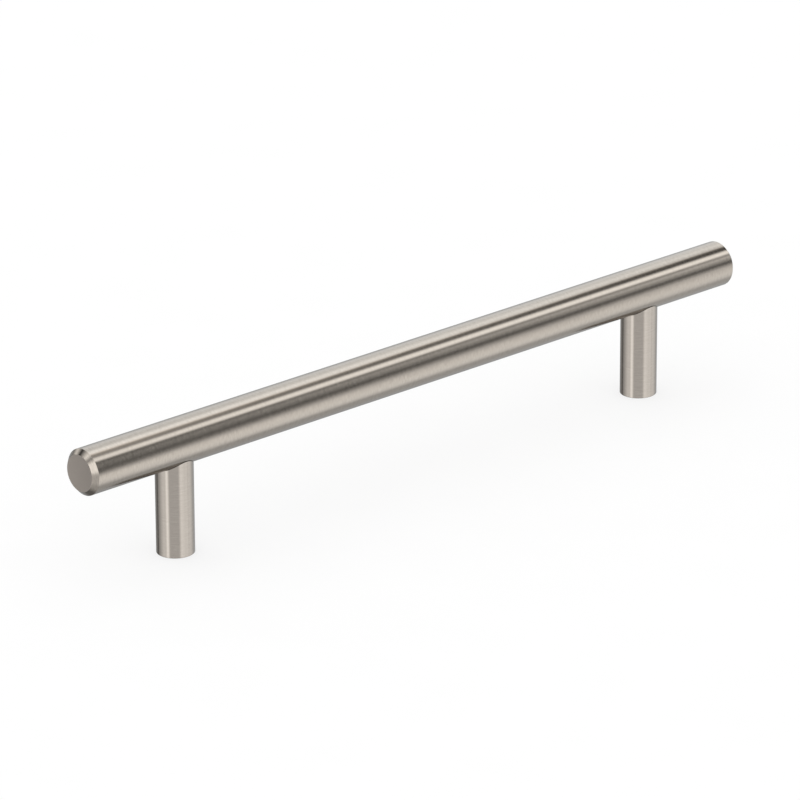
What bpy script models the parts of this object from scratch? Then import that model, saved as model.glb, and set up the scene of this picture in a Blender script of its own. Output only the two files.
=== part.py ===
"""A T bar cabinet pull.

A solid round bar with chamfered ends lies in the coped saddles of two round posts.
A headless set screw draws each post up against the underside of the bar, and each
post has a blind tapped hole in its foot for the screw that comes through the door.

Frame: metres, +Z up away from the door, +X along the bar, origin on the door's face
midway between the posts.
"""

import math

import bpy

# Where the pull fixes, and how far it stands out from the door
HOLE_SPACING = 0.160
PROJECTION = 0.035

# The bar, turned from solid round stock
BAR_OVERHANG = 0.030
BAR_DIAMETER = 0.012
BAR_END_CHAMFER = 0.00125

# The posts, from the door's face up to the bar
POST_DIAMETER = 0.0097
FOOT_CHAMFER = 0.0003
SADDLE_CLEARANCE = 0.0003
SADDLE_EDGE_BREAK = 0.0002

# The blind M4 hole in each foot, at its tap drill's size
MOUNTING_DRILL = 0.0033
MOUNTING_COUNTERSINK = 0.0043
WEB_BETWEEN_HOLES = 0.0025

# The M5 set screws: a hole's wall lies at the thread's outside, a screw's wall inside it
JOINING_THREAD = 0.005
THREAD_CLEARANCE = 0.0003
SET_SCREW_LENGTH = 0.012
GRIP_IN_BAR = 0.006
ROOM_PAST_SCREW = 0.001
SET_SCREW_CHAMFER = 0.0004
SOCKET_ACROSS_FLATS = 0.0025
SOCKET_DEPTH = 0.0028
DRILL_POINT_ANGLE = math.radians(118)

# How finely the round forms are faceted
BAR_SIDES = 96
POST_SIDES = 80
HOLE_SIDES = 40
SADDLE_RINGS = 6
SHARP_ANGLE = math.radians(30)

# Points nearer than this to a turning axis lie on it
ON_AXIS = 0.000001
# How far a cutter stands out of the face that it opens
CUTTER_OVERRUN = 0.001

# Worked out from the sizes above
BAR_LENGTH = HOLE_SPACING + 2 * BAR_OVERHANG
BAR_RADIUS = BAR_DIAMETER / 2
POST_RADIUS = POST_DIAMETER / 2
SADDLE_RADIUS = BAR_RADIUS + SADDLE_CLEARANCE
BAR_AXIS_HEIGHT = PROJECTION - BAR_RADIUS
SADDLE_FLOOR = BAR_AXIS_HEIGHT - SADDLE_RADIUS
SET_SCREW_TOP = PROJECTION - BAR_DIAMETER + GRIP_IN_BAR
SET_SCREW_FOOT = SET_SCREW_TOP - SET_SCREW_LENGTH


def clear_scene():
    for obj in list(bpy.data.objects):
        bpy.data.objects.remove(obj)


def new_collection(name):
    collection = bpy.data.collections.new(name)
    bpy.context.scene.collection.children.link(collection)
    return collection


def metal(name, colour, roughness):
    """A metal, its colour given as its linear reflection seen head on."""
    material = bpy.data.materials.new(name)
    material.use_nodes = True
    shader = material.node_tree.nodes["Principled BSDF"]
    shader.inputs["Base Color"].default_value = (*colour, 1)
    shader.inputs["Metallic"].default_value = 1
    shader.inputs["Roughness"].default_value = roughness
    return material


def turned(name, profile, sides, collection):
    """Turns a profile of (radius, height) points about Z, its outer side from top to bottom."""
    mesh = bpy.data.meshes.new(name)
    points = [(radius, 0, height) for radius, height in profile]
    mesh.from_pydata(points, [(i, i + 1) for i in range(len(points) - 1)], [])
    obj = bpy.data.objects.new(name, mesh)
    collection.objects.link(obj)
    turn = obj.modifiers.new("turn", "SCREW")
    turn.steps = sides
    turn.render_steps = sides
    turn.use_merge_vertices = True
    turn.merge_threshold = ON_AXIS
    return obj


def cut(obj, cutter):
    """Cuts another object's shape away, and leaves that object as a wire outline."""
    cutter.hide_render = True
    cutter.display_type = "WIRE"
    boolean = obj.modifiers.new("cut " + cutter.name, "BOOLEAN")
    boolean.operation = "DIFFERENCE"
    boolean.solver = "EXACT"
    boolean.object = cutter


def bake(obj):
    """Makes what the modifiers give the object's own mesh."""
    bpy.context.view_layer.update()
    graph = bpy.context.evaluated_depsgraph_get()
    mesh = bpy.data.meshes.new_from_object(obj.evaluated_get(graph))
    obj.modifiers.clear()
    obj.data = mesh
    mesh.name = obj.name
    return mesh


def finish(obj, material):
    """Shades round walls smooth and machined edges crisp, and gives the piece its metal."""
    mesh = bake(obj)
    mesh.shade_smooth()
    mesh.set_sharp_from_angle(angle=SHARP_ANGLE)
    mesh.materials.append(material)


def drill_point(radius):
    """The depth of the cone that a twist drill leaves at the end of its hole."""
    return radius / math.tan(DRILL_POINT_ANGLE / 2)


def lift_to_bar(y):
    """How far the saddle rises above its floor at this distance from the bar's centre line."""
    return SADDLE_RADIUS - math.sqrt(max(SADDLE_RADIUS**2 - y**2, 0))


def post_profile():
    """The post before its top is coped: both blind holes, a flat top and a flat foot."""
    joining = JOINING_THREAD / 2
    joining_end = SET_SCREW_FOOT - ROOM_PAST_SCREW
    joining_tip = joining_end - drill_point(joining)
    mounting = MOUNTING_DRILL / 2
    mounting_mouth = MOUNTING_COUNTERSINK / 2
    mounting_tip = joining_tip - WEB_BETWEEN_HOLES
    mounting_end = mounting_tip - drill_point(mounting)
    rim = POST_RADIUS - SADDLE_EDGE_BREAK
    ring_width = (rim - joining) / SADDLE_RINGS
    saddle = [(joining + ring_width * i, SADDLE_FLOOR) for i in range(SADDLE_RINGS + 1)]
    return [
        (0, joining_tip),
        (joining, joining_end),
        *saddle,
        (POST_RADIUS, SADDLE_FLOOR - SADDLE_EDGE_BREAK),
        (POST_RADIUS, FOOT_CHAMFER),
        (POST_RADIUS - FOOT_CHAMFER, 0),
        (mounting_mouth, 0),
        (mounting, mounting_mouth - mounting),
        (mounting, mounting_end),
        (0, mounting_tip),
    ]


def cope(mesh):
    """Raises the flat top and its broken edge, each point to the saddle's height there.

    Those are the only points of the post above the foot of its set screw.
    """
    for vertex in mesh.vertices:
        if vertex.co.z > SET_SCREW_FOOT:
            vertex.co.z += lift_to_bar(vertex.co.y)


def make_post(side, x, pull):
    post = turned("post_" + side, post_profile(), POST_SIDES, pull)
    post.location.x = x
    cope(bake(post))
    finish(post, metal("brushed_nickel_post_" + side, (0.62, 0.58, 0.52), 0.32))


def make_set_screw(side, x, pull, cutters):
    """A headless screw with a hexagon socket in its lower end."""
    wall = JOINING_THREAD / 2 - THREAD_CLEARANCE
    end = wall - SET_SCREW_CHAMFER
    profile = [
        (0, SET_SCREW_TOP),
        (end, SET_SCREW_TOP),
        (wall, SET_SCREW_TOP - SET_SCREW_CHAMFER),
        (wall, SET_SCREW_FOOT + SET_SCREW_CHAMFER),
        (end, SET_SCREW_FOOT),
        (0, SET_SCREW_FOOT),
    ]
    screw = turned("set_screw_" + side, profile, HOLE_SIDES, pull)
    screw.location.x = x
    across_corners = SOCKET_ACROSS_FLATS / math.cos(math.radians(30))
    socket_profile = [
        (0, SET_SCREW_FOOT + SOCKET_DEPTH),
        (across_corners / 2, SET_SCREW_FOOT + SOCKET_DEPTH),
        (across_corners / 2, SET_SCREW_FOOT - CUTTER_OVERRUN),
        (0, SET_SCREW_FOOT - CUTTER_OVERRUN),
    ]
    socket = turned("hexagon_socket_" + side, socket_profile, 6, cutters)
    socket.location.x = x
    cut(screw, socket)
    finish(screw, metal("zinc_plated_set_screw_" + side, (0.56, 0.57, 0.58), 0.35))


def make_bar(pull, cutters):
    """The bar is turned about its own axis, laid along X, and drilled over each post."""
    half = BAR_LENGTH / 2
    shoulder = half - BAR_END_CHAMFER
    face = BAR_RADIUS - BAR_END_CHAMFER
    profile = [
        (0, half),
        (face, half),
        (BAR_RADIUS, shoulder),
        (BAR_RADIUS, -shoulder),
        (face, -half),
        (0, -half),
    ]
    bar = turned("bar", profile, BAR_SIDES, pull)
    bar.rotation_euler.y = math.radians(90)
    bar.location.z = BAR_AXIS_HEIGHT
    wall = JOINING_THREAD / 2
    end = SET_SCREW_TOP + ROOM_PAST_SCREW
    hole_profile = [
        (0, end + drill_point(wall)),
        (wall, end),
        (wall, SADDLE_FLOOR - CUTTER_OVERRUN),
        (0, SADDLE_FLOOR - CUTTER_OVERRUN),
    ]
    for side, x in post_places():
        hole = turned("joining_hole_" + side, hole_profile, HOLE_SIDES, cutters)
        hole.location.x = x
        cut(bar, hole)
    finish(bar, metal("brushed_nickel_bar", (0.62, 0.58, 0.52), 0.30))


def post_places():
    return (("left", -HOLE_SPACING / 2), ("right", HOLE_SPACING / 2))


def main():
    clear_scene()
    pull = new_collection("t_bar_cabinet_pull")
    cutters = new_collection("cutters")
    make_bar(pull, cutters)
    for side, x in post_places():
        make_post(side, x, pull)
        make_set_screw(side, x, pull, cutters)


main()
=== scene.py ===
"""A T bar cabinet pull in brushed nickel, in a pale studio.

The file is laid out as an add-on for Blender and is run as a script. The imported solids
give every size and place, in metres: +X runs along the bar, +Z points out of the door,
and the origin lies on the door's face midway between the posts. Each solid is replaced
by a finer surface of the same form, with eased edges and cut threads.
"""

import bmesh
import bpy
import numpy as np
from bpy.props import FloatProperty, FloatVectorProperty, PointerProperty
from mathutils import Matrix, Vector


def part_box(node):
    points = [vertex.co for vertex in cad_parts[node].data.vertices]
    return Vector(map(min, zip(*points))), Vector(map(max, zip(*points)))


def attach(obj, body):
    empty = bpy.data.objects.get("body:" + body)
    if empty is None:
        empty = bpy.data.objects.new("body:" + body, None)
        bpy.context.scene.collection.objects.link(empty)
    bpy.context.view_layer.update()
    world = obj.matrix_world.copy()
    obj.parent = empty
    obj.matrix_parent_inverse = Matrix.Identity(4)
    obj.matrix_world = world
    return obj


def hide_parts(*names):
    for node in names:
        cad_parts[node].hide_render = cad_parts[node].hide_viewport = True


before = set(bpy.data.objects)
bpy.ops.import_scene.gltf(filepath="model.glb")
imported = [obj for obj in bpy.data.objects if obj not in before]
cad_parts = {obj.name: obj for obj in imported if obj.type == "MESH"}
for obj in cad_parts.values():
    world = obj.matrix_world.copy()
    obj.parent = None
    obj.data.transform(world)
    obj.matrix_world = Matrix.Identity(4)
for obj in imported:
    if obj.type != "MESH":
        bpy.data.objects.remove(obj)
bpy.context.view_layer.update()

bl_info = {
    "name": "T Bar Cabinet Pull",
    "version": (1, 0, 0),
    "blender": (4, 5, 0),
    "location": "View3D > Sidebar > Cabinet Pull",
    "description": "Builds a brushed nickel T bar cabinet pull and its studio",
    "category": "Add Mesh",
}

SIDES = ("left", "right")

BAR_LOW, BAR_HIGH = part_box("bar")
POST_LOW, POST_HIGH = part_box("post_left")
SCREW_LOW, SCREW_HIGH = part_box("set_screw_left")
POST_X = {
    side: sum(corner.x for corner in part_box("post_" + side)) / 2 for side in SIDES
}

# How finely the forms are divided: cells round each piece, the longest cell along a plain
# wall, points in a rounded corner, rings in a face and a saddle, rings in each turn of a
# thread, and lines each way across the floor
BAR_COLUMNS = 144
POST_COLUMNS = 96
SCREW_COLUMNS = 72
WALL_STEP = 0.005
ARC_POINTS = 5
FACE_RINGS = 12
SADDLE_RINGS = 8
THREAD_ROWS_A_TURN = 10
FLOOR_LINES = 9
# The patch left out of the bar's skin round a hole: cells to a side, half its length,
# and the rings of the collar that fills it. Its cells are about as long as they are wide
HOLE_CELLS = 28
PATCH_HALF = 0.0035
HOLE_RINGS = 5

# The angle round the bar of its underside, from +Y over the top
UNDERSIDE = 270
# Points nearer than this are one point
WELD = 0.000001
# The places of a piece's materials: brushed or plated skin, faced end, tapped hole
SKIN, FACE, HOLE = range(3)

# A drill leaves a cone whose side lies this far from the hole's axis
DRILL_HALF_ANGLE = np.radians(59)
# How far a joining hole is drilled past the end of its set screw
HOLE_ROOM = 0.001
# The web left between the two blind holes of a post
WEB_BETWEEN_HOLES = 0.0025
# The slope of a thread's flanks. Above one half it leaves the root and the crest flat
FLANK_SLOPE = 1.45
# The M4 thread in each foot, and how far it stops short of the drilled depth
M4_PITCH = 0.0007
M4_DEPTH = 0.00035
TAP_LEAD = 0.0018
# The M5 thread of the set screws, its crest just inside the wall of its hole
M5_PITCH = 0.0008
M5_CREST = 0.00246
M5_ROOT = 0.00202
SCREW_CHAMFER = 0.0004
SOCKET_ACROSS_FLATS = 0.0025
SOCKET_DEPTH = 0.0028

# A 240 grit belt leaves lines about 0.04 mm apart. They are too fine to show with the
# whole pull in view, so they are drawn five times as coarse
BELT_LINE = 0.00004
LINES_COARSER = 5
# How deep the lines of brushing and facing are
BRUSHED_DEPTH = 0.000002
# How far the grain of brushing draws a highlight out, from 0 to 1
BRUSHED_GRAIN = 0.82
# The patches in which thin plate varies, and how far they stand up
PLATE_PATCH = 0.0012
PLATE_DEPTH = 0.00001
FACED_ROUGHNESS = 0.41
HOLE_ROUGHNESS = 0.34
ZINC_ROUGHNESS = 0.3
# Paper fibres lie in clumps about 2 mm across. They are drawn ten times as coarse, so
# that they show as a faint mottle
PAPER_CLUMP = 0.002
CLUMPS_COARSER = 10
# The light that comes through the paper, beside the light that falls on it
PAPER_GLOW = 0.745
# The gap that keeps the floor clear of the feet
FLOOR_GAP = 0.00005


def linear(hex_colour):
    """An sRGB colour written as hex, as linear light with an alpha of 1."""
    levels = np.array([int(hex_colour[i : i + 2], 16) for i in (0, 2, 4)]) / 255
    light = np.where(
        levels <= 0.04045, levels / 12.92, ((levels + 0.055) / 1.055) ** 2.4
    )
    return (*light.tolist(), 1.0)


# Sizes and colours that a user would change

SMALL_LENGTH = {"precision": 5, "unit": "LENGTH"}
COLOUR = {"size": 4, "min": 0, "max": 1, "subtype": "COLOR"}


class PullSizes(bpy.types.PropertyGroup):
    bar_chamfer: FloatProperty(
        name="Bar chamfer",
        description="How far the 45 degree chamfer at each end of the bar runs",
        default=0.00125,
        min=0.0005,
        max=0.003,
        **SMALL_LENGTH,
    )
    face_hollow: FloatProperty(
        name="Face hollow",
        description="How much lower the middle of each faced end lies than its rim",
        default=0.0001,
        min=0,
        max=0.0003,
        **SMALL_LENGTH,
    )
    saddle_clearance: FloatProperty(
        name="Saddle clearance",
        description="The gap between the bar and the coped top of a post",
        default=0.00006,
        min=0.00002,
        max=0.001,
        **SMALL_LENGTH,
    )
    edge_break: FloatProperty(
        name="Saddle edge",
        description="The width of the broken edge round each saddle",
        default=0.00006,
        min=0.00002,
        max=0.0005,
        **SMALL_LENGTH,
    )
    foot_chamfer: FloatProperty(
        name="Foot chamfer",
        description="The width of the chamfer round each foot",
        default=0.0001,
        min=0.0001,
        max=0.001,
        **SMALL_LENGTH,
    )
    edge_radius: FloatProperty(
        name="Edge radius",
        description="The radius that brushing leaves on every machined edge",
        default=0.00008,
        min=0.00002,
        max=0.0002,
        **SMALL_LENGTH,
    )
    joining_hole: FloatProperty(
        name="Joining hole",
        description="The diameter of the blind holes for the M5 set screws",
        default=0.005,
        min=0.004,
        max=0.006,
        **SMALL_LENGTH,
    )
    mounting_drill: FloatProperty(
        name="Mounting hole",
        description="The tap drill's diameter for the M4 hole in each foot",
        default=0.0033,
        min=0.003,
        max=0.004,
        **SMALL_LENGTH,
    )
    mounting_mouth: FloatProperty(
        name="Mounting countersink",
        description="The diameter of the countersink at the mouth of each foot's hole",
        default=0.0043,
        min=0.0034,
        max=0.006,
        **SMALL_LENGTH,
    )


class NickelFinish(bpy.types.PropertyGroup):
    bar_shade: FloatVectorProperty(
        name="Bar, dark lines",
        description="Colour of the darkest brush lines on the bar",
        default=linear("bdb4aa"),
        **COLOUR,
    )
    bar_light: FloatVectorProperty(
        name="Bar, light lines",
        description="Colour of the lightest brush lines on the bar",
        default=linear("eee4d8"),
        **COLOUR,
    )
    post_shade: FloatVectorProperty(
        name="Posts, dark lines",
        description="Colour of the darkest brush lines on the posts",
        default=linear("c7beb5"),
        **COLOUR,
    )
    post_light: FloatVectorProperty(
        name="Posts, light lines",
        description="Colour of the lightest brush lines on the posts",
        default=linear("e4dbd1"),
        **COLOUR,
    )
    face_shade: FloatVectorProperty(
        name="Cut faces, dark",
        description="Colour of the darkest rings on the bar's ends and the feet",
        default=linear("c8bfb7"),
        **COLOUR,
    )
    face_light: FloatVectorProperty(
        name="Cut faces, light",
        description="Colour of the lightest rings on the bar's ends and the feet",
        default=linear("d0c6bd"),
        **COLOUR,
    )
    hole_shade: FloatVectorProperty(
        name="Tapped holes, dark",
        description="Colour of the darkest patches of plate in the holes",
        default=linear("a8a196"),
        **COLOUR,
    )
    hole_light: FloatVectorProperty(
        name="Tapped holes, light",
        description="Colour of the lightest patches of plate in the holes",
        default=linear("c4bdb2"),
        **COLOUR,
    )
    zinc_shade: FloatVectorProperty(
        name="Set screws, dark",
        description="Colour of the darkest patches of the zinc plate",
        default=linear("b9bdc0"),
        **COLOUR,
    )
    zinc_light: FloatVectorProperty(
        name="Set screws, light",
        description="Colour of the lightest patches of the zinc plate",
        default=linear("d3d6d9"),
        **COLOUR,
    )
    roughness: FloatProperty(
        name="Roughness",
        description="Roughness of the brushed nickel, before its grain draws it out",
        default=0.16,
        min=0.05,
        max=0.6,
    )
    line_spacing: FloatProperty(
        name="Line spacing",
        description="The distance between the brush lines that show",
        default=BELT_LINE * LINES_COARSER,
        min=0.0001,
        max=0.002,
        **SMALL_LENGTH,
    )
    bar_line_length: FloatProperty(
        name="Line length, bar",
        description="How far a brush line runs round the bar before it fades",
        default=0.0015,
        min=0.0005,
        max=0.05,
        precision=4,
        unit="LENGTH",
    )
    post_line_length: FloatProperty(
        name="Line length, posts",
        description="How far a brush line runs round a post before it fades",
        default=0.0027,
        min=0.0005,
        max=0.05,
        precision=4,
        unit="LENGTH",
    )


class StudioSettings(bpy.types.PropertyGroup):
    # The camera's place, turns and lens were fitted to the pull's outline in the photograph
    camera_place: FloatVectorProperty(
        name="Camera place",
        description="Where the camera stands",
        default=(-0.98596, -1.08225, 0.59059),
        size=3,
        subtype="TRANSLATION",
        unit="LENGTH",
    )
    camera_yaw: FloatProperty(
        name="Camera yaw",
        description="How far the view turns from +Y towards +X",
        default=np.radians(42.195),
        subtype="ANGLE",
        unit="ROTATION",
    )
    camera_pitch: FloatProperty(
        name="Camera pitch",
        description="How far the view looks down",
        default=np.radians(21.328),
        subtype="ANGLE",
        unit="ROTATION",
    )
    camera_roll: FloatProperty(
        name="Camera roll",
        description="How far the camera leans",
        default=np.radians(-0.242),
        subtype="ANGLE",
        unit="ROTATION",
    )
    camera_lens: FloatProperty(
        name="Lens",
        description="Focal length on a sensor 36 mm wide, in millimetres",
        default=277.69,
        min=20,
        max=500,
    )
    paper_shade: FloatVectorProperty(
        name="Paper, dark",
        description="Colour of the darkest fibres of the studio paper",
        default=linear("898989"),
        **COLOUR,
    )
    paper_light: FloatVectorProperty(
        name="Paper, light",
        description="Colour of the lightest fibres of the studio paper",
        default=linear("8d8d8d"),
        **COLOUR,
    )
    floor_size: FloatProperty(
        name="Floor size",
        description="How far the floor reaches from its middle",
        default=30.0,
        min=1,
        max=100,
        unit="LENGTH",
    )


# Profiles and surfaces, worked out as whole arrays


def round_corners(points, radius):
    """The line through points with its inner corners rounded.

    At a corner that turns by an angle, the arc of that radius starts the radius times the
    tangent of half the angle before the corner, and leaves as far behind it. A corner at
    the radius 0 is left sharp.
    """
    points = np.array(points, float)
    rounded = [points[:1]]
    for before, corner, after in zip(points, points[1:], points[2:]):
        ahead = (corner - before) / np.linalg.norm(corner - before)
        onward = (after - corner) / np.linalg.norm(after - corner)
        turn = np.arctan2(
            ahead[0] * onward[1] - ahead[1] * onward[0], ahead @ onward
        )
        inward = np.array([-ahead[1], ahead[0]]) * np.sign(turn)
        angle = np.linspace(0, abs(turn), ARC_POINTS)[:, None]
        start = corner - ahead * radius * np.tan(abs(turn) / 2)
        rounded.append(
            start + radius * (np.sin(angle) * ahead + (1 - np.cos(angle)) * inward)
        )
    return np.concatenate([*rounded, points[-1:]])


def turn_about_z(radius, height, columns):
    """Carries rings about Z: x is radius times cosine, y radius times sine, z the height.

    Radius and height have a row for each ring, and may have a column for each angle. The
    last column falls on the first.
    """
    angle = np.linspace(0, 2 * np.pi, columns + 1)
    radius, height, angle = np.broadcast_arrays(radius, height, angle)
    return np.stack([radius * np.cos(angle), radius * np.sin(angle), height], -1)


def unroll(points, datum_row=0):
    """A flat map of a surface: U is the length along its columns from one row, V the turn."""
    steps = np.linalg.norm(np.diff(points, axis=0), axis=-1)
    along = np.concatenate([np.zeros((1, steps.shape[1])), np.cumsum(steps, 0)])
    turn = np.linspace(0, 1, points.shape[1])
    return np.stack(np.broadcast_arrays(along - along[datum_row], turn), -1)


def grid_faces(rows, columns):
    """The four corners of each cell of a grid of points, row after row."""
    first = np.arange(rows - 1)[:, None] * columns + np.arange(columns - 1)
    return np.stack([first, first + 1, first + columns + 1, first + columns], -1)


def ridge(turns):
    """A thread's section over one pitch: 0 at its root, 1 at its crest, both a little flat.

    It is one half, plus the flanks' slope times a zigzag between -1 and 1, and is cut off
    at 0 and 1.
    """
    zigzag = 2 * np.abs(2 * (turns % 1) - 1) - 1
    return np.clip(0.5 + FLANK_SLOPE * zigzag, 0, 1)


def thread_rows(low, high, pitch):
    """Heights for a thread's rings, evenly spaced from low to high."""
    return np.linspace(low, high, round((high - low) / pitch * THREAD_ROWS_A_TURN) + 1)


def thread(heights, columns, pitch, runout):
    """How much of the thread's depth stands at each height and angle.

    The ridge climbs one pitch a turn, and it runs out to nothing over a short way at
    both ends.
    """
    turn = np.linspace(0, 1, columns + 1)
    height = heights[:, None]
    ends = np.minimum(height - heights.min(), heights.max() - height) / runout
    return ridge(height / pitch - turn) * np.clip(ends, 0, 1)


# Meshes


def build_piece(name, sheets, materials):
    """Joins sheets into one closed piece, with its seams and poles welded.

    A sheet is its grid of points, its grid of map places, the number of the material for
    each row of cells, and which cells are kept.
    """
    points, corners, places, numbers, start = [], [], [], [], 0
    for sheet_points, sheet_places, row_materials, kept in sheets:
        rows, columns = sheet_points.shape[:2]
        faces = grid_faces(rows, columns)[kept]
        points.append(sheet_points.reshape(-1, 3))
        corners.append(faces + start)
        places.append(sheet_places.reshape(-1, 2)[faces])
        numbers.append(np.broadcast_to(row_materials[:, None], kept.shape)[kept])
        start += rows * columns
    mesh = bpy.data.meshes.new(name)
    mesh.from_pydata(np.concatenate(points), [], np.concatenate(corners).tolist())
    uv_map = mesh.uv_layers.new(name="unrolled")
    uv_map.data.foreach_set("uv", np.concatenate(places).astype(np.float32).ravel())
    mesh.polygons.foreach_set("material_index", np.concatenate(numbers).astype(np.int32))
    for material in materials:
        mesh.materials.append(material)
    work = bmesh.new()
    work.from_mesh(mesh)
    bmesh.ops.remove_doubles(work, verts=work.verts, dist=WELD)
    bmesh.ops.delete(
        work, geom=[vertex for vertex in work.verts if not vertex.link_faces]
    )
    bmesh.ops.recalc_face_normals(work, faces=work.faces)
    open_edges = sum(not edge.is_manifold for edge in work.edges)
    work.to_mesh(mesh)
    work.free()
    if open_edges:
        raise RuntimeError(f"{name} has {open_edges} edges that aren't closed")
    shade_by_area(mesh)
    piece = bpy.data.objects.new(name, mesh)
    bpy.context.scene.collection.objects.link(piece)
    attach(piece, "root")
    return piece


def shade_by_area(mesh):
    """Shades a mesh smooth, each vertex by the sum of its faces' normals times their areas.

    A broad face outweighs the narrow cells of a rounded edge beside it, and stays flat.
    """
    mesh.shade_smooth()
    counts = np.empty(len(mesh.polygons), np.int32)
    areas = np.empty(len(mesh.polygons))
    normals = np.empty(len(mesh.polygons) * 3)
    corners = np.empty(len(mesh.loops), np.int32)
    mesh.polygons.foreach_get("loop_total", counts)
    mesh.polygons.foreach_get("area", areas)
    mesh.polygons.foreach_get("normal", normals)
    mesh.loops.foreach_get("vertex_index", corners)
    weighed = np.repeat(normals.reshape(-1, 3) * areas[:, None], counts, 0)
    total = np.zeros((len(mesh.vertices), 3))
    np.add.at(total, corners, weighed)
    total /= np.linalg.norm(total, axis=1)[:, None]
    mesh.normals_split_custom_set_from_vertices(total.tolist())


def whole_sheet(points, row_materials, datum_row=0):
    """A sheet whose cells are all kept."""
    kept = np.ones((points.shape[0] - 1, points.shape[1] - 1), bool)
    return points, unroll(points, datum_row), row_materials, kept


def wall_rows(start, end):
    """Places from start to end, no further apart than the wall's step."""
    return np.linspace(start, end, int(np.ceil(abs(end - start) / WALL_STEP)) + 1)


def lathe_to_bar(points, centre_height):
    """Lays a form turned about Z along X: z becomes x, and the turn starts at +Y."""
    return np.stack(
        [points[..., 2], points[..., 0], centre_height + points[..., 1]], -1
    )


def bar_profile(sizes, radius, half):
    """The bar's rings from end to end, each as its distance from the axis and its place
    along it.

    The facing cut leaves each end a little hollow. It is deepest at the axis, and its
    depth falls with the square of the distance from the axis, to nothing at the rim.
    """
    chamfer = sizes.bar_chamfer
    corners = [(0, half), (radius - chamfer, half), (radius, half - chamfer), (radius, 0)]
    end = round_corners(corners, sizes.edge_radius)[:-1]
    rim = end[1, 0]
    reach = np.linspace(0, rim, FACE_RINGS + 1)[:-1]
    hollow = sizes.face_hollow * (1 - (reach / rim) ** 2)
    end = np.concatenate([np.stack([reach, half - hollow], -1), end[1:]])
    left, right = (
        np.linspace(x - PATCH_HALF, x + PATCH_HALF, HOLE_CELLS + 1)
        for x in POST_X.values()
    )
    wall = np.concatenate(
        [
            wall_rows(end[-1, 1], right[-1])[1:-1],
            right[::-1],
            wall_rows(right[0], left[-1])[1:-1],
            left[::-1],
            wall_rows(left[0], -end[-1, 1])[1:-1],
        ]
    )
    wall = np.stack([np.full(len(wall), radius), wall], -1)
    return np.concatenate([end, wall, (end * (1, -1))[::-1]])


def bar_sheets(sizes):
    """The bar's turned skin and its two blind holes.

    The skin is the profile turned about the bar's axis. Where a hole opens, a patch of
    its cells is left out, and a collar fills that place.
    """
    radius = (BAR_HIGH.y - BAR_LOW.y) / 2
    axis_height = (BAR_LOW.z + BAR_HIGH.z) / 2
    rings = bar_profile(sizes, radius, (BAR_HIGH.x - BAR_LOW.x) / 2)
    turned = turn_about_z(rings[:, :1], rings[:, 1:], BAR_COLUMNS)
    skin = lathe_to_bar(turned, axis_height)
    row_materials = np.full(len(rings) - 1, SKIN)
    row_materials[:FACE_RINGS] = FACE
    row_materials[-FACE_RINGS:] = FACE
    middle = rings[:-1, 1] / 2 + rings[1:, 1] / 2
    cell_angle = 360 / BAR_COLUMNS
    angle = (np.arange(BAR_COLUMNS) + 0.5) * cell_angle
    opened_angle = np.abs(angle - UNDERSIDE) < HOLE_CELLS / 2 * cell_angle
    from_posts = np.abs(middle[:, None] - np.array(list(POST_X.values())))
    opened_length = from_posts.min(1) < PATCH_HALF
    kept = ~(opened_length[:, None] & opened_angle)
    sheets = [(skin, unroll(skin), row_materials, kept)]
    for x in POST_X.values():
        sheets += bar_hole_sheets(sizes, x, radius, axis_height)
    return sheets


def square_outline(cells):
    """Points round a square from -1 to 1, that many cells to a side, back to the first.

    Each side is the one before it turned by a quarter.
    """
    step = np.linspace(-1, 1, cells + 1)
    side = np.stack([step, np.full(cells + 1, -1.0)], -1)[:-1]
    quarter = np.array([[0, 1], [-1, 0]])
    sides = [side @ np.linalg.matrix_power(quarter, k) for k in range(4)]
    return np.concatenate([*sides, side[:1]])


def bar_hole_sheets(sizes, x, radius, axis_height):
    """The collar round one hole in the bar's underside, its wall and its drill point.

    The collar's rings blend evenly, in the length along the bar and in the angle round
    it, from the hole's edge to the patch's outline.
    """
    outline = square_outline(HOLE_CELLS)
    half_angle = np.pi * HOLE_CELLS / BAR_COLUMNS
    hole = sizes.joining_hole / 2
    bearing = np.arctan2(outline[:, 1], outline[:, 0])
    edge_x = hole * np.cos(bearing)
    edge_y = hole * np.sin(bearing)
    share = np.linspace(0, 1, HOLE_RINGS + 1)[:, None]
    along = (1 - share) * edge_x + share * PATCH_HALF * outline[:, 0]
    edge_angle = np.arcsin(edge_y / radius)
    around = (1 - share) * edge_angle + share * half_angle * outline[:, 1]
    across, height = radius * np.sin(around), axis_height - radius * np.cos(around)
    collar = np.stack([x + along, across, height], -1)
    end = SCREW_HIGH.z + HOLE_ROOM
    tip = end + hole / np.tan(DRILL_HALF_ANGLE)
    rim = collar[0]
    top = np.stack([x + edge_x, edge_y, np.full(len(bearing), end)], -1)
    point = np.broadcast_to([x, 0, tip], top.shape)
    bore = np.stack([rim, top, point])
    return [
        whole_sheet(sheet, np.full(len(sheet) - 1, SKIN)) for sheet in (collar, bore)
    ]


def saddle_lift(y, sizes):
    """How far the saddle stands above its floor at a distance y from the bar's centre line.

    It is the saddle's radius, less the root of that radius squared less y squared.
    """
    radius = (BAR_HIGH.y - BAR_LOW.y) / 2 + sizes.saddle_clearance
    return radius - np.sqrt(np.maximum(radius**2 - y**2, 0))


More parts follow.
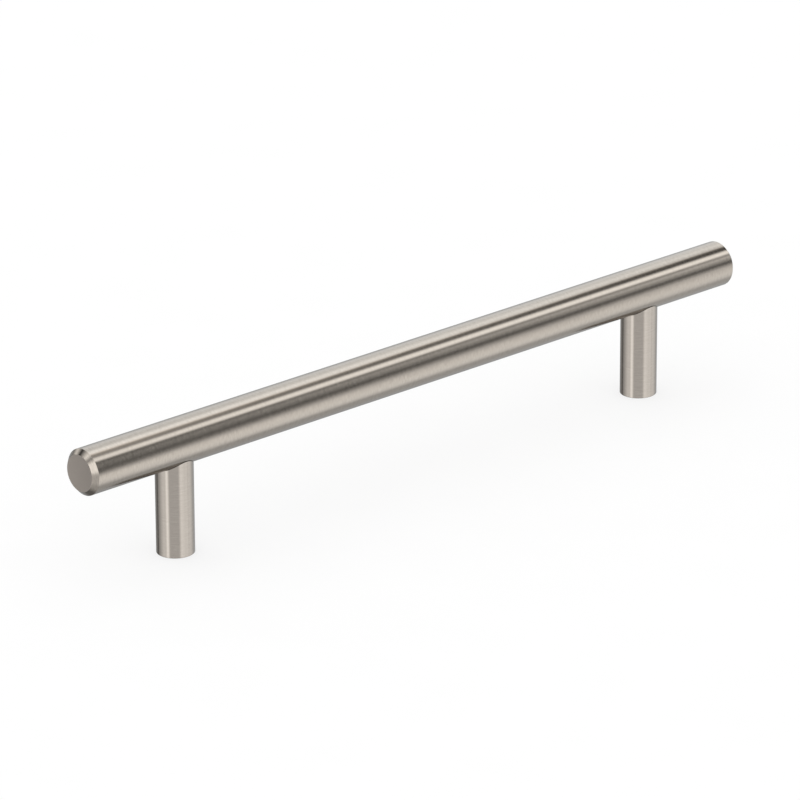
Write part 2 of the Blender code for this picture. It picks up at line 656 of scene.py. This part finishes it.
def post_sheet(sizes, x):
    """One post as a single turned surface, from the joining hole's tip out over the
    saddle, down the wall, across the foot and up the tapped mounting hole.

    The rings of the saddle and of its broken edge are turned flat and then raised, each
    point by the saddle's lift at its distance from the bar's centre line.
    """
    radius = (POST_HIGH.x - POST_LOW.x) / 2
    floor = BAR_LOW.z - sizes.saddle_clearance
    joining = sizes.joining_hole / 2
    joining_end = SCREW_LOW.z - HOLE_ROOM
    joining_tip = joining_end - joining / np.tan(DRILL_HALF_ANGLE)
    rim = radius - sizes.edge_break
    top = round_corners(
        [(joining, floor), (rim, floor), (radius, floor - sizes.edge_break), (radius, 0)],
        sizes.edge_radius,
    )[:-1]
    reach = np.linspace(joining, top[1, 0], SADDLE_RINGS + 1)[:-1]
    saddle = np.stack([reach, np.full(SADDLE_RINGS, floor)], -1)
    top = np.concatenate([saddle, top[1:]])
    drill, mouth = sizes.mounting_drill / 2, sizes.mounting_mouth / 2
    foot = round_corners(
        [
            (radius, floor),
            (radius, sizes.foot_chamfer),
            (radius - sizes.foot_chamfer, 0),
            (mouth, 0),
            (drill, mouth - drill),
        ],
        sizes.edge_radius,
    )[1:-1]
    wall_z = wall_rows(top[-1, 1], foot[0, 1])[1:-1]
    wall = np.stack([np.full(len(wall_z), radius), wall_z], -1)
    inner = np.array([(0, joining_tip), (joining, joining_end)])
    outer = np.concatenate([inner, top, wall, foot])
    points = turn_about_z(outer[:, :1], outer[:, 1:], POST_COLUMNS)
    raised = slice(len(inner), len(inner) + len(top))
    points[raised, :, 2] += saddle_lift(points[raised, :, 1], sizes)

    mounting_tip = joining_tip - WEB_BETWEEN_HOLES
    mounting_end = mounting_tip - drill / np.tan(DRILL_HALF_ANGLE)
    heights = thread_rows(mouth - drill, mounting_end - TAP_LEAD, M4_PITCH)
    cut = thread(heights, POST_COLUMNS, M4_PITCH, M4_PITCH / 2)
    threaded = turn_about_z(drill + M4_DEPTH * cut, heights[:, None], POST_COLUMNS)
    ending = np.array([(drill, mounting_end), (0, mounting_tip)])
    bottom = turn_about_z(ending[:, :1], ending[:, 1:], POST_COLUMNS)
    points = np.concatenate([points, threaded, bottom])
    points[..., 0] += x
    wall_end = len(outer) - len(foot)
    # The foot's flat follows the two arcs of its chamfer, and its finish runs on into the
    # edge of the countersink
    foot_face = wall_end + 2 * ARC_POINTS - 1
    row_materials = np.full(len(points) - 1, SKIN)
    row_materials[: len(inner)] = HOLE
    row_materials[foot_face : foot_face + 2] = FACE
    row_materials[len(outer) - 1 :] = HOLE
    return whole_sheet(points, row_materials, wall_end)


def set_screw_sheet(x):
    """One set screw, turned from its flat end down its thread to its hexagon socket.

    The socket's rings follow a hexagon: half the width across its flats, divided by the
    cosine of the angle from the nearest flat's middle.
    """
    top, foot = SCREW_HIGH.z, SCREW_LOW.z
    heights = thread_rows(foot + SCREW_CHAMFER, top - SCREW_CHAMFER, M5_PITCH)[::-1]
    cut = thread(heights, SCREW_COLUMNS, M5_PITCH, M5_PITCH)
    wall = M5_ROOT + (M5_CREST - M5_ROOT) * cut
    turn = np.linspace(0, 2 * np.pi, SCREW_COLUMNS + 1)
    sixth = np.pi / 3
    hexagon = SOCKET_ACROSS_FLATS / 2 / np.cos(turn % sixth - sixth / 2)
    end = M5_ROOT - SCREW_CHAMFER / 2
    ring = np.ones(SCREW_COLUMNS + 1)
    bottom = foot + SOCKET_DEPTH
    radii = np.concatenate(
        [
            [0 * ring, end * ring],
            wall,
            [end * ring, hexagon, hexagon, hexagon / 2, 0 * ring],
        ]
    )
    rise = SOCKET_ACROSS_FLATS / 2 / np.tan(DRILL_HALF_ANGLE)
    rows = np.concatenate(
        [[top, top], heights, [foot, foot, bottom, bottom + rise / 2, bottom + rise]]
    )
    points = turn_about_z(radii, rows[:, None], SCREW_COLUMNS)
    points[..., 0] += x
    return whole_sheet(points, np.full(len(points) - 1, SKIN))


# Materials


def add_node(tree, kind, settings=None, **links):
    """Adds a node with its settings, and its inputs by name: a value, or a socket to link.

    Where inputs share a name, two underscores and a number after it pick one, counted
    over all inputs.
    """
    node = tree.nodes.new(kind)
    for name, value in (settings or {}).items():
        setattr(node, name, value)
    for key, value in links.items():
        name, _, number = key.partition("__")
        socket = node.inputs[int(number) if number else name.replace("_", " ")]
        if isinstance(value, bpy.types.NodeSocket):
            tree.links.new(value, socket)
        else:
            socket.default_value = value
    return node


def new_material(name):
    """A material whose nodes are still to be added, and its node tree."""
    material = bpy.data.materials.new(name)
    material.use_nodes = True
    material.node_tree.nodes.clear()
    return material, material.node_tree


def brush_lines(tree, spacing, length, along):
    """Fine lines that run round a turned piece, as a value about one half.

    The unrolled map's U counts along the piece, where lines follow each other closely.
    The place across the piece changes them slowly, so that each fades and starts again.
    """
    uv_map = add_node(tree, "ShaderNodeUVMap", {"uv_map": "unrolled"})
    place = add_node(tree, "ShaderNodeTexCoord")
    spread = add_node(
        tree,
        "ShaderNodeVectorMath",
        {"operation": "MULTIPLY"},
        a__0=place.outputs["Object"],
        b__1=tuple((1 - along) / length),
    )
    stretch = add_node(
        tree,
        "ShaderNodeVectorMath",
        {"operation": "DOT_PRODUCT"},
        a__0=uv_map.outputs["UV"],
        b__1=(1 / spacing, 0, 0),
    )
    lengthwise = add_node(
        tree,
        "ShaderNodeVectorMath",
        {"operation": "SCALE"},
        a__0=tuple(along),
        Scale=stretch.outputs["Value"],
    )
    joined = add_node(
        tree,
        "ShaderNodeVectorMath",
        {"operation": "ADD"},
        a__0=spread.outputs["Vector"],
        b__1=lengthwise.outputs["Vector"],
    )
    return add_node(
        tree,
        "ShaderNodeTexNoise",
        Vector=joined.outputs["Vector"],
        Scale=1.0,
        Detail=3.0,
        Roughness=0.65,
    ).outputs["Fac"]


def add_metal(tree, pattern, shade, light, roughness, swing, strength, depth, **grain):
    """Metal whose colour, roughness and height follow one pattern.

    The pattern is noise, which seldom leaves 0.2 to 0.8. Over that range the roughness
    goes from a swing below its middle to a swing above it.
    """
    colour = add_node(
        tree,
        "ShaderNodeMix",
        {"data_type": "RGBA"},
        Factor__0=pattern,
        A__6=tuple(shade),
        B__7=tuple(light),
    )
    rough = add_node(
        tree,
        "ShaderNodeMapRange",
        Value=pattern,
        From_Min=0.2,
        From_Max=0.8,
        To_Min=roughness - swing,
        To_Max=roughness + swing,
    )
    bump = add_node(
        tree, "ShaderNodeBump", Height=pattern, Strength=strength, Distance=depth
    )
    shader = add_node(
        tree,
        "ShaderNodeBsdfPrincipled",
        Base_Color=colour.outputs[2],
        Metallic=1.0,
        Roughness=rough.outputs["Result"],
        Normal=bump.outputs["Normal"],
        **grain,
    )
    add_node(tree, "ShaderNodeOutputMaterial", Surface=shader.outputs["BSDF"])


def brushed_nickel(name, finish, axis, shade, light, line_length):
    """Satin nickel plate, brushed round a turned piece.

    The grain runs round the piece, so light is spread along its axis and stays narrow
    round it: bright and dark bands lie straight along the metal with clean edges. Fine
    lines cross them, a few hundredths lighter and darker.
    """
    material, tree = new_material(name)
    along = np.eye(3)["XYZ".index(axis)]
    lines = brush_lines(tree, finish.line_spacing, line_length, along)
    grain = add_node(
        tree, "ShaderNodeTangent", {"direction_type": "UV_MAP", "uv_map": "unrolled"}
    )
    add_metal(
        tree,
        lines,
        shade,
        light,
        roughness=finish.roughness,
        swing=0.03,
        strength=0.15,
        depth=BRUSHED_DEPTH,
        Anisotropic=BRUSHED_GRAIN,
        Tangent=grain.outputs["Tangent"],
    )
    return material


def faced_nickel(name, finish, axis):
    """Nickel plate on a face cut square in the lathe: even, matt, with faint rings."""
    material, tree = new_material(name)
    along = np.eye(3)["XYZ".index(axis)]
    add_metal(
        tree,
        brush_lines(tree, finish.line_spacing, finish.bar_line_length, along),
        finish.face_shade,
        finish.face_light,
        roughness=FACED_ROUGHNESS,
        swing=0.03,
        strength=0.1,
        depth=BRUSHED_DEPTH,
    )
    return material


def plated_steel(name, shade, light, roughness):
    """Thin plate on cut steel, such as a thread: small patches, lighter and darker."""
    material, tree = new_material(name)
    place = add_node(tree, "ShaderNodeTexCoord")
    patches = add_node(
        tree,
        "ShaderNodeTexNoise",
        Vector=place.outputs["Object"],
        Scale=1 / PLATE_PATCH,
        Detail=4.0,
    )
    add_metal(
        tree,
        patches.outputs["Fac"],
        shade,
        light,
        roughness=roughness,
        swing=0.06,
        strength=0.2,
        depth=PLATE_DEPTH,
    )
    return material


# Studio

# The studio's plan, set so that the metal mirrors the bands it has in the photograph.
# Each wall goes once round the bar's line, as panels: where a panel starts and ends, in
# degrees, and its level of light. 0 is at +Y, 90 overhead, 180 at -Y and 270 straight
# down. A black card is 0, and a lit strip is 1 or more. The three walls in front of the
# camera follow each other towards +X, and the fourth stands behind it.
WALL_BESIDE = {
    "back wall": (22, 36, 0.82),
    "gap below the strip": (53, 57, 0.65),
    "broad strip overhead": (71, 82, 1.2),
    "ceiling": (92, 104, 0.57),
    "narrow strip": (112, 119, 0.9),
    "black card level with the eye": (129, 140, 0),
    "dim wall": (157, 179, 0.15),
    "low lit sheet": (200, 214, 0.9),
    "floor": (252, 350, 0.37),
}
WALL_AHEAD = {
    "back wall": (22, 42, 0.85),
    "broad strip overhead": (64, 76, 1.4),
    "black card overhead": (86, 98, 0),
    "strip before it": (108, 122, 1.5),
    "dim wall level with the eye": (132, 147, 0.3),
    "dark card below it": (165, 170, 0.1),
    "low lit sheet": (229, 235, 1.08),
    "floor": (255, 360, 0.45),
}
WALL_FAR = {
    "back wall": (22, 55, 0.95),
    "black card overhead": (80, 100, 0),
    "strip before it": (111, 120, 1.2),
    "gap between the strips": (127, 131, 0.5),
    "narrow strip": (138, 141, 0.9),
    "dim wall": (164, 169, 0.15),
    "low lit sheet": (188, 220, 0.8),
    "floor": (258, 350, 0.48),
}
WALL_BEHIND = {
    "low strip": (18, 22, 0.8),
    "black card": (39, 41, 0),
    "strip overhead": (73, 77, 1.05),
    "ceiling": (93, 97, 0.3),
    "great lit sheet at the camera's back": (120, 180, 1.15),
    "low wall": (230, 258, 0.4),
    "floor": (280, 310, 0.13),
    "black skirting": (335, 360, 0.05),
}
# The low part of the wall behind the camera, by its place about Z, from +X towards +Y
LOW_WALL = {
    "black card": (66, 74, 0),
    "dim card": (84, 96, 0.25),
    "dark card": (106, 110, 0.1),
    "shaded wall": (118, 122, 0.35),
    "lit wall": (156, 172, 0.78),
    "lamp at -X": (180, 186, 1.15),
    "wall towards -Y": (198, 252, 0.53),
    "lit sheet": (265, 280, 0.95),
    "lamp at -Y": (290, 294, 1.45),
}
# How warm the light is round the bar's line, from 0 for daylight to 1 for lamplight
WARMTH = {
    "back wall": (0, 25, 0.25),
    "strip overhead": (45, 74, 0.35),
    "black card overhead": (86, 90, 0.8),
    "wall towards -Y": (105, 215, 0.5),
    "low lit sheet": (240, 265, 0.4),
    "floor": (300, 350, 0.2),
}
EVEN_WARMTH = (0.5, 0.5, 0.5, 1)
DAYLIGHT = linear("f0f8ff")
LAMPLIGHT = linear("fff8f0")
# Where one wall gives way to the next, in a direction's x, which is 1 straight along +X
BACK_TO_FRONT = (0, 0.3)
BESIDE_TO_AHEAD = (0.575, 0.63)
AHEAD_TO_FAR = (0.63, 0.68)
# Where the low wall starts and ends, in a direction's z, which is 1 straight up
FLOOR_TO_LOW_WALL = (-0.8, -0.65)
LOW_WALL_TO_WALL = (-0.208, 0.139)
# The light left for a ray that has met the metal twice
SECOND_MEETING = 0.45


def ring_of_levels(tree, turn, panels):
    """Looks up a level by the turn from 0 to 1, round a ring of panels.

    A panel is even from its start to its end. From there the level runs straight to the
    next panel's, and from the last panel's, over the seam, to the first's.
    """
    rows = np.array(list(panels.values()), float)
    angles, levels = rows[:, :2].ravel(), rows[:, 2].repeat(2)
    seam = np.interp(360, [angles[-1], angles[0] + 360], [levels[-1], levels[0]])
    if angles[0] > 0:
        angles, levels = np.append(0, angles), np.append(seam, levels)
    angles, levels = np.append(angles, 360), np.append(levels, seam)
    node = add_node(tree, "ShaderNodeValToRGB", Fac=turn)
    elements = node.color_ramp.elements
    # A new stop may start anywhere, because each is then put in its place
    while len(elements) < len(angles):
        elements.new(0.5)
    for element, angle, level in zip(elements, angles, levels):
        element.position = angle / 360
        element.color = (level, level, level, 1)
    return node.outputs["Color"]


def turn_between(tree, up, along):
    """The turn, from 0 to 1, of a direction about the axis across up and along."""
    angle = add_node(
        tree, "ShaderNodeMath", {"operation": "ARCTAN2"}, a__0=up, b__1=along
    )
    turns = add_node(
        tree,
        "ShaderNodeMath",
        {"operation": "MULTIPLY"},
        a__0=angle.outputs[0],
        b__1=0.5 / np.pi,
    )
    return add_node(
        tree, "ShaderNodeMath", {"operation": "FRACT"}, a__0=turns.outputs[0]
    ).outputs[0]


def change_over(tree, place, start, end, first, second, easing="SMOOTHSTEP"):
    """One level where the place is at start, another where it is at end.

    Between them the level goes over from the first to the second by the easing.
    """
    share = add_node(
        tree,
        "ShaderNodeMapRange",
        {"interpolation_type": easing},
        Value=place,
        From_Min=start,
        From_Max=end,
    )
    return add_node(
        tree,
        "ShaderNodeMix",
        {"data_type": "RGBA"},
        Factor__0=share.outputs["Result"],
        A__6=first,
        B__7=second,
    ).outputs[2]


def light_of_studio(tree, x, y, z):
    """The studio's light from the direction x, y, z: its level, tinted warm or cool."""
    round_bar = turn_between(tree, z, y)
    round_post = turn_between(tree, y, x)
    beside, ahead, far, behind = (
        ring_of_levels(tree, round_bar, wall)
        for wall in (WALL_BESIDE, WALL_AHEAD, WALL_FAR, WALL_BEHIND)
    )
    low = ring_of_levels(tree, round_post, LOW_WALL)
    above_floor = change_over(tree, z, *LOW_WALL_TO_WALL, low, behind)
    back = change_over(tree, z, *FLOOR_TO_LOW_WALL, behind, above_floor)
    near = change_over(tree, x, *BESIDE_TO_AHEAD, beside, ahead, "LINEAR")
    front = change_over(tree, x, *AHEAD_TO_FAR, near, far, "LINEAR")
    level = change_over(tree, x, *BACK_TO_FRONT, back, front)
    warmth = ring_of_levels(tree, round_bar, WARMTH)
    warm_share = change_over(tree, x, *BACK_TO_FRONT, EVEN_WARMTH, warmth)
    tint = add_node(
        tree,
        "ShaderNodeMix",
        {"data_type": "RGBA"},
        Factor__0=warm_share,
        A__6=DAYLIGHT,
        B__7=LAMPLIGHT,
    )
    return add_node(
        tree,
        "ShaderNodeMix",
        {"data_type": "RGBA", "blend_type": "MULTIPLY"},
        Factor__0=1.0,
        A__6=level,
        B__7=tint.outputs[2],
    ).outputs[2]


def set_world():
    """White to the eye and to the floor, and a studio of soft light and shade to the metal.

    Only rays that leave a glossy surface see the studio, and one that has met the metal
    twice finds it dimmer, which deepens the shade where bar and post meet. World rays
    aren't sampled as a lamp, because a lamp's ray isn't told what surface it lights.
    """
    world = bpy.data.worlds.new("pale_studio")
    world.use_nodes = True
    world.cycles.sampling_method = "NONE"
    tree = world.node_tree
    tree.nodes.clear()
    place = add_node(tree, "ShaderNodeTexCoord")
    parts = add_node(tree, "ShaderNodeSeparateXYZ", Vector=place.outputs["Generated"])
    ray = add_node(tree, "ShaderNodeLightPath")
    seen = add_node(
        tree,
        "ShaderNodeMix",
        {"data_type": "RGBA"},
        Factor__0=ray.outputs["Is Glossy Ray"],
        A__6=linear("ffffff"),
        B__7=light_of_studio(tree, *(parts.outputs[axis] for axis in "XYZ")),
    )
    # The depth is 2 for a ray that has met the metal once, and 3 or more after that
    strength = add_node(
        tree,
        "ShaderNodeMapRange",
        Value=ray.outputs["Ray Depth"],
        From_Min=2.0,
        From_Max=3.0,
        To_Min=1.0,
        To_Max=SECOND_MEETING,
    )
    light = add_node(
        tree,
        "ShaderNodeBackground",
        Color=seen.outputs[2],
        Strength=strength.outputs["Result"],
    )
    add_node(tree, "ShaderNodeOutputWorld", Surface=light.outputs["Background"])
    bpy.context.scene.world = world


def floor_paper(shade, light):
    """Matt white paper, lit from above and from behind, with a soft fibre mottle.

    About a quarter of its white is light from above, and the rest comes through it. From
    below it is clear, so that the feet can be looked at.
    """
    material, tree = new_material("white_studio_paper")
    place = add_node(tree, "ShaderNodeTexCoord")
    fibres = add_node(
        tree,
        "ShaderNodeTexNoise",
        Vector=place.outputs["Object"],
        Scale=1 / (PAPER_CLUMP * CLUMPS_COARSER),
        Detail=2.0,
    )
    mottle = add_node(
        tree,
        "ShaderNodeMix",
        {"data_type": "RGBA"},
        Factor__0=fibres.outputs["Fac"],
        A__6=tuple(shade),
        B__7=tuple(light),
    )
    paper = add_node(tree, "ShaderNodeBsdfDiffuse", Color=mottle.outputs[2])
    glow = add_node(tree, "ShaderNodeEmission", Strength=PAPER_GLOW)
    both = add_node(
        tree,
        "ShaderNodeAddShader",
        a__0=paper.outputs["BSDF"],
        b__1=glow.outputs["Emission"],
    )
    clear = add_node(tree, "ShaderNodeBsdfTransparent")
    side = add_node(tree, "ShaderNodeNewGeometry")
    shown = add_node(
        tree,
        "ShaderNodeMixShader",
        Fac=side.outputs["Backfacing"],
        a__1=both.outputs[0],
        b__2=clear.outputs["BSDF"],
    )
    add_node(tree, "ShaderNodeOutputMaterial", Surface=shown.outputs["Shader"])
    return material


def lay_floor(studio):
    """A flat square just under the feet.

    The metal doesn't mirror it: the studio's walls hold the light that the floor gives.
    """
    steps = np.linspace(-studio.floor_size, studio.floor_size, FLOOR_LINES)
    x, y = np.meshgrid(steps, steps, indexing="ij")
    points = np.stack([x, y, np.full_like(x, -FLOOR_GAP)], -1)
    mesh = bpy.data.meshes.new("floor")
    faces = grid_faces(FLOOR_LINES, FLOOR_LINES)[..., ::-1].reshape(-1, 4)
    mesh.from_pydata(points.reshape(-1, 3), [], faces.tolist())
    mesh.materials.append(floor_paper(studio.paper_shade, studio.paper_light))
    floor = bpy.data.objects.new("floor", mesh)
    floor.visible_glossy = False
    bpy.context.scene.collection.objects.link(floor)


def set_camera(studio):
    """The camera looks along its yaw and pitch, and leans by its roll."""
    yaw, pitch, roll = studio.camera_yaw, studio.camera_pitch, studio.camera_roll
    ahead = np.array(
        [np.sin(yaw) * np.cos(pitch), np.cos(yaw) * np.cos(pitch), -np.sin(pitch)]
    )
    level = np.cross(ahead, (0, 0, 1))
    level /= np.linalg.norm(level)
    upright = np.cross(level, ahead)
    right = np.cos(roll) * level + np.sin(roll) * upright
    up = np.cos(roll) * upright - np.sin(roll) * level
    matrix = np.eye(4)
    matrix[:3] = np.stack([right, up, -ahead, studio.camera_place], -1)
    camera = bpy.data.objects.new("camera", bpy.data.cameras.new("camera"))
    camera.data.lens = studio.camera_lens
    camera.data.clip_start = 0.01
    camera.data.clip_end = 200
    camera.matrix_world = Matrix(matrix.tolist())
    bpy.context.scene.collection.objects.link(camera)
    bpy.context.scene.camera = camera


# Operators and panel


class PULL_OT_make_bar(bpy.types.Operator):
    """Turns the bar, with its chamfered ends and its two blind holes"""

    bl_idname = "pull.make_bar"
    bl_label = "Turn the bar"

    def execute(self, context):
        finish = context.scene.pull_finish
        materials = [
            brushed_nickel(
                "brushed_nickel_bar",
                finish,
                "X",
                finish.bar_shade,
                finish.bar_light,
                finish.bar_line_length,
            ),
            faced_nickel("faced_nickel_bar_end", finish, "X"),
        ]
        sheets = bar_sheets(context.scene.pull_sizes)
        bar = build_piece("bar_turned", sheets, materials)
        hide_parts("bar")
        return {"FINISHED"}


class PULL_OT_make_posts(bpy.types.Operator):
    """Turns both posts, copes their tops to the bar and taps their feet"""

    bl_idname = "pull.make_posts"
    bl_label = "Turn the posts"

    def execute(self, context):
        finish = context.scene.pull_finish
        materials = [
            brushed_nickel(
                "brushed_nickel_post",
                finish,
                "Z",
                finish.post_shade,
                finish.post_light,
                finish.post_line_length,
            ),
            faced_nickel("faced_nickel_foot", finish, "Z"),
            plated_steel(
                "nickel_flash_in_tapped_hole",
                finish.hole_shade,
                finish.hole_light,
                HOLE_ROUGHNESS,
            ),
        ]
        for side, x in POST_X.items():
            sheet = post_sheet(context.scene.pull_sizes, x)
            post = build_piece("post_" + side + "_coped", [sheet], materials)
            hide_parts("post_" + side)
        return {"FINISHED"}


class PULL_OT_make_set_screws(bpy.types.Operator):
    """Cuts the two headless set screws that draw the posts up to the bar"""

    bl_idname = "pull.make_set_screws"
    bl_label = "Cut the set screws"

    def execute(self, context):
        finish = context.scene.pull_finish
        zinc = plated_steel(
            "bright_zinc_on_steel", finish.zinc_shade, finish.zinc_light, ZINC_ROUGHNESS
        )
        for side, x in POST_X.items():
            screw = build_piece(
                "set_screw_" + side + "_threaded", [set_screw_sheet(x)], [zinc]
            )
            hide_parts("set_screw_" + side)
        return {"FINISHED"}


class PULL_OT_set_studio(bpy.types.Operator):
    """Lays the floor, lights the studio and stands the camera"""

    bl_idname = "pull.set_studio"
    bl_label = "Set the studio"

    def execute(self, context):
        context.scene.view_settings.view_transform = "Standard"
        set_world()
        studio = context.scene.pull_studio
        lay_floor(studio)
        set_camera(studio)
        return {"FINISHED"}


class PULL_PT_sidebar(bpy.types.Panel):
    """The pull's sizes, finish and studio, and the steps that build it"""

    bl_idname = "PULL_PT_sidebar"
    bl_label = "T Bar Cabinet Pull"
    bl_space_type = "VIEW_3D"
    bl_region_type = "UI"
    bl_category = "Cabinet Pull"

    def draw(self, context):
        for name in ("pull_sizes", "pull_finish", "pull_studio"):
            group = getattr(context.scene, name)
            box = self.layout.box()
            for key in group.bl_rna.properties.keys():
                if key not in ("rna_type", "name"):
                    box.prop(group, key)
        for operator in OPERATORS:
            self.layout.operator(operator.bl_idname)


OPERATORS = (
    PULL_OT_make_bar,
    PULL_OT_make_posts,
    PULL_OT_make_set_screws,
    PULL_OT_set_studio,
)
CLASSES = (PullSizes, NickelFinish, StudioSettings, *OPERATORS, PULL_PT_sidebar)


def register():
    for cls in CLASSES:
        bpy.utils.register_class(cls)
    bpy.types.Scene.pull_sizes = PointerProperty(type=PullSizes)
    bpy.types.Scene.pull_finish = PointerProperty(type=NickelFinish)
    bpy.types.Scene.pull_studio = PointerProperty(type=StudioSettings)


def unregister():
    del bpy.types.Scene.pull_sizes
    del bpy.types.Scene.pull_finish
    del bpy.types.Scene.pull_studio
    for cls in reversed(CLASSES):
        bpy.utils.unregister_class(cls)


def main():
    register()
    bpy.ops.pull.make_bar()
    bpy.ops.pull.make_posts()
    bpy.ops.pull.make_set_screws()
    bpy.ops.pull.set_studio()


if __name__ == "__main__":
    main()
